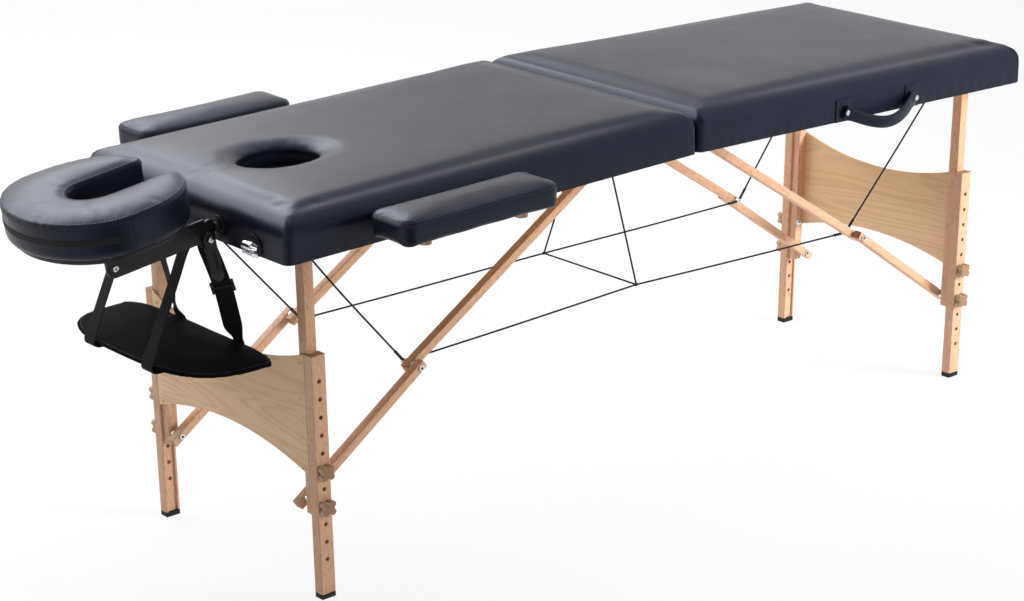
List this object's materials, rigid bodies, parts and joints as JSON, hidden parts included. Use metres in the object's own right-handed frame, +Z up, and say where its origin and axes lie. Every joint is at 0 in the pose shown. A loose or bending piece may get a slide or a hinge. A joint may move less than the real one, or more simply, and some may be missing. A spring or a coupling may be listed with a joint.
{
  "type": "massage_table",
  "caption": "Portable folding massage table with a padded two-part top, face hole, face rest, arm sling, side armrests, cable-braced folding wooden legs and telescopic feet.",
  "frame": {"origin": "centre of the footprint of the whole part in X and Y, on the floor in Z", "axes": "+X towards the foot end, +Y to the far side, +Z up; the pictured side faces -Y"},
  "size_m": [2.1818, 0.864, 0.7547],
  "materials": {
    "black_vinyl": "satin black synthetic leather with a fine grain",
    "beech": "clear lacquered beech, grain along each piece",
    "knob_wood": "turned and milled wood, satin lacquer",
    "deck_ply": "bare plywood",
    "panel_ply": "lacquered veneer, grain across the table",
    "brass": "brass plated screw heads",
    "bright_steel": "nickel plated steel",
    "black_plastic": "black, satin",
    "rubber": "black, matt",
    "webbing": "black woven webbing",
    "cable_sheath": "black plastic sheath on steel cable"
  },
  "bodies": {
    "head_half": {"head_frame": "beech", "head_deck": "deck_ply", "head_cushion": "black_vinyl", "head_frame_bolts": "bright_steel", "head_hinge_leaves": "bright_steel", "end_washers": "black_plastic", "latch_bases": "bright_steel", "head_cables": "cable_sheath"},
    "foot_half": {"foot_frame": "beech", "foot_deck": "deck_ply", "foot_cushion": "black_vinyl", "foot_frame_bolts": "bright_steel", "foot_hinge_leaves": "bright_steel", "foot_cables": "cable_sheath", "latch_catches": "bright_steel", "carry_handle": "black_vinyl"},
    "head_legs": {"head_upper_legs": "beech", "head_end_panel": "panel_ply", "head_panel_screws": "brass", "head_leg_bolts": "bright_steel"},
    "head_lower_strut_pair": {"head_lower_struts": "beech", "head_joint_bolts": "bright_steel"},
    "head_upper_strut_pair": {"head_upper_struts": "beech", "head_joint_eyes": "bright_steel"},
    "head_front_leg": {"head_front_lower_leg": "beech", "head_front_foot_cap": "rubber"},
    "head_front_knob_a_turned": {"head_front_knob_a": "knob_wood"},
    "head_front_knob_b_turned": {"head_front_knob_b": "knob_wood"},
    "head_back_leg": {"head_back_lower_leg": "beech", "head_back_foot_cap": "rubber"},
    "head_back_knob_a_turned": {"head_back_knob_a": "knob_wood"},
    "head_back_knob_b_turned": {"head_back_knob_b": "knob_wood"},
    "foot_legs": {"foot_upper_legs": "beech", "foot_end_panel": "panel_ply", "foot_panel_screws": "brass", "foot_leg_bolts": "bright_steel"},
    "foot_lower_strut_pair": {"foot_lower_struts": "beech", "foot_joint_bolts": "bright_steel"},
    "foot_upper_strut_pair": {"foot_upper_struts": "beech", "foot_joint_eyes": "bright_steel"},
    "foot_front_leg": {"foot_front_lower_leg": "beech", "foot_front_foot_cap": "rubber"},
    "foot_front_knob_a_turned": {"foot_front_knob_a": "knob_wood"},
    "foot_front_knob_b_turned": {"foot_front_knob_b": "knob_wood"},
    "foot_back_leg": {"foot_back_lower_leg": "beech", "foot_back_foot_cap": "rubber"},
    "foot_back_knob_a_turned": {"foot_back_knob_a": "knob_wood"},
    "foot_back_knob_b_turned": {"foot_back_knob_b": "knob_wood"},
    "headrest_mount": {"headrest_posts": "black_plastic"},
    "headrest": {"headrest_platform": "black_plastic", "headrest_cushion": "black_vinyl"},
    "headrest_clamp_lever": {"headrest_lever": "black_plastic"},
    "arm_sling": {"sling_pad": "black_vinyl", "sling_straps": "webbing"},
    "front_armrest": {"front_armrest_bearers": "beech", "front_armrest_pad": "black_vinyl"},
    "front_latch": {"front_latch_lever": "bright_steel"},
    "back_armrest": {"back_armrest_bearers": "beech", "back_armrest_pad": "black_vinyl"},
    "back_latch": {"back_latch_lever": "bright_steel"}
  },
  "joints": [
    {"name": "table_fold", "type": "hinge", "parent": "head_half", "child": "foot_half", "pos_m": [0.15578, 0, 0.6494], "axis": [0, 1, 0], "range_deg": [0, 85], "deforming": ["head_cables"]},
    {"name": "head_leg_fold", "type": "hinge", "parent": "head_half", "child": "head_legs", "pos_m": [-0.68544, 0, 0.65187], "axis": [0, -1, 0], "range_deg": [0, 90], "deforming": ["head_cables"]},
    {"name": "head_lower_strut_turn", "type": "hinge", "parent": "head_legs", "child": "head_lower_strut_pair", "pos_m": [-0.67573, 0, 0.17206], "axis": [0, -1, 0], "range_deg": [0, 56.33]},
    {"name": "head_upper_strut_turn", "type": "hinge", "parent": "head_half", "child": "head_upper_strut_pair", "pos_m": [0.0824, 0, 0.66741], "axis": [0, -1, 0], "range_deg": [-31.13, 0]},
    {"name": "head_front_leg_slide", "type": "slide", "parent": "head_legs", "child": "head_front_leg", "axis": [0.0202, 0, -0.9998], "range_m": [-0.0981, 0.1635]},
    {"name": "head_front_knob_a_spin", "type": "hinge", "parent": "head_front_leg", "child": "head_front_knob_a_turned", "pos_m": [-0.67705, -0.25, 0.23745], "axis": [0, -1, 0], "continuous": true},
    {"name": "head_front_knob_b_spin", "type": "hinge", "parent": "head_front_leg", "child": "head_front_knob_b_turned", "pos_m": [-0.67573, -0.25, 0.17206], "axis": [0, -1, 0], "continuous": true},
    {"name": "head_back_leg_slide", "type": "slide", "parent": "head_legs", "child": "head_back_leg", "axis": [0.0202, 0, -0.9998], "range_m": [-0.0981, 0.1635]},
    {"name": "head_back_knob_a_spin", "type": "hinge", "parent": "head_back_leg", "child": "head_back_knob_a_turned", "pos_m": [-0.67705, 0.25, 0.23745], "axis": [0, 1, 0], "continuous": true},
    {"name": "head_back_knob_b_spin", "type": "hinge", "parent": "head_back_leg", "child": "head_back_knob_b_turned", "pos_m": [-0.67573, 0.25, 0.17206], "axis": [0, 1, 0], "continuous": true},
    {"name": "foot_leg_fold", "type": "hinge", "parent": "foot_half", "child": "foot_legs", "pos_m": [0.997, 0, 0.65187], "axis": [0, 1, 0], "range_deg": [0, 90], "deforming": ["foot_cables"]},
    {"name": "foot_lower_strut_turn", "type": "hinge", "parent": "foot_legs", "child": "foot_lower_strut_pair", "pos_m": [0.98729, 0, 0.17206], "axis": [0, 1, 0], "range_deg": [0, 56.33]},
    {"name": "foot_upper_strut_turn", "type": "hinge", "parent": "foot_half", "child": "foot_upper_strut_pair", "pos_m": [0.22916, 0, 0.66741], "axis": [0, 1, 0], "range_deg": [-31.13, 0]},
    {"name": "foot_front_leg_slide", "type": "slide", "parent": "foot_legs", "child": "foot_front_leg", "axis": [-0.0202, 0, -0.9998], "range_m": [-0.0981, 0.1635]},
    {"name": "foot_front_knob_a_spin", "type": "hinge", "parent": "foot_front_leg", "child": "foot_front_knob_a_turned", "pos_m": [0.98861, -0.25, 0.23745], "axis": [0, -1, 0], "continuous": true},
    {"name": "foot_front_knob_b_spin", "type": "hinge", "parent": "foot_front_leg", "child": "foot_front_knob_b_turned", "pos_m": [0.98729, -0.25, 0.17206], "axis": [0, -1, 0], "continuous": true},
    {"name": "foot_back_leg_slide", "type": "slide", "parent": "foot_legs", "child": "foot_back_leg", "axis": [-0.0202, 0, -0.9998], "range_m": [-0.0981, 0.1635]},
    {"name": "foot_back_knob_a_spin", "type": "hinge", "parent": "foot_back_leg", "child": "foot_back_knob_a_turned", "pos_m": [0.98861, 0.25, 0.23745], "axis": [0, 1, 0], "continuous": true},
    {"name": "foot_back_knob_b_spin", "type": "hinge", "parent": "foot_back_leg", "child": "foot_back_knob_b_turned", "pos_m": [0.98729, 0.25, 0.17206], "axis": [0, 1, 0], "continuous": true},
    {"name": "headrest_slide", "type": "slide", "parent": "head_half", "child": "headrest_mount", "axis": [-0.9998, 0, -0.0202], "range_m": [0, 0.05]},
    {"name": "headrest_tilt", "type": "hinge", "parent": "headrest_mount", "child": "headrest", "pos_m": [-0.80132, 0, 0.64492], "axis": [0, 1, 0], "range_deg": [-30, 8]},
    {"name": "headrest_lever_turn", "type": "hinge", "parent": "headrest_mount", "child": "headrest_clamp_lever", "pos_m": [-0.80132, -0.118, 0.64492], "axis": [0, 1, 0], "range_deg": [0, 90]},
    {"name": "sling_swing", "type": "hinge", "parent": "headrest_mount", "child": "arm_sling", "pos_m": [-0.80132, 0, 0.64492], "axis": [0, 1, 0], "range_deg": [-5, 25]},
    {"name": "front_armrest_pull", "type": "slide", "parent": "head_half", "child": "front_armrest", "axis": [0, -1, 0], "range_m": [0, 0.1]},
    {"name": "front_latch_turn", "type": "hinge", "parent": "head_half", "child": "front_latch", "pos_m": [-0.78372, -0.21, 0.63987], "axis": [0, -1, 0], "range_deg": [0, 100]},
    {"name": "back_armrest_pull", "type": "slide", "parent": "head_half", "child": "back_armrest", "axis": [0, 1, 0], "range_m": [0, 0.1]},
    {"name": "back_latch_turn", "type": "hinge", "parent": "head_half", "child": "back_latch", "pos_m": [-0.78372, 0.21, 0.63987], "axis": [0, -1, 0], "range_deg": [0, 100]}
  ],
  "couplings": [
    {"joint": "head_lower_strut_turn", "follows": "head_leg_fold", "ratio": 0.62584},
    {"joint": "head_upper_strut_turn", "follows": "head_leg_fold", "ratio": -0.34593},
    {"joint": "foot_lower_strut_turn", "follows": "foot_leg_fold", "ratio": 0.62584},
    {"joint": "foot_upper_strut_turn", "follows": "foot_leg_fold", "ratio": -0.34593}
  ]
}
